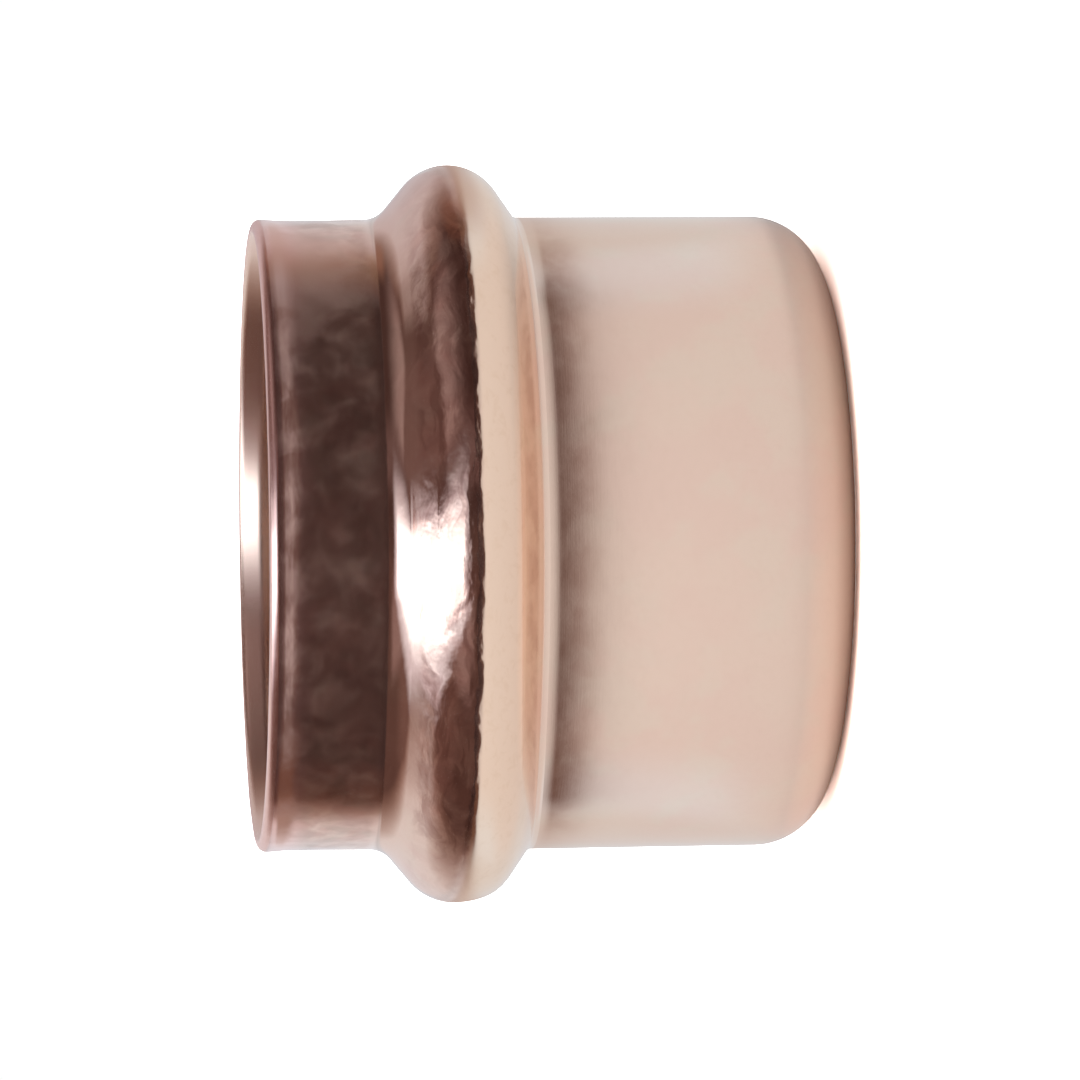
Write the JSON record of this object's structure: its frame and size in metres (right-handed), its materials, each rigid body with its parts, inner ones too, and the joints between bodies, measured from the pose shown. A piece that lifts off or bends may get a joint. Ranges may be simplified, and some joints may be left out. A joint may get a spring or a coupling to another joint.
{
  "type": "press end cap",
  "caption": "Blind press-fit end cap for copper tube: formed copper body with a rolled bead near its mouth and a captive sealing ring.",
  "frame": {"origin": "centre of the flat closed end, on its outside face", "axes": "+Z along the bore, from the closed end out of the mouth; X and Y are any two directions across the round section"},
  "size_m": [0.0356, 0.0356, 0.0274],
  "materials": {
    "copper": "drawn copper: bright and lightly mottled at the skirt and bead, satin on the barrel",
    "sealing_rubber": "moulded, matt with a light lubricant sheen"
  },
  "bodies": {
    "root": {"cap_body": "copper", "o_ring": "sealing_rubber"}
  },
  "joints": []
}
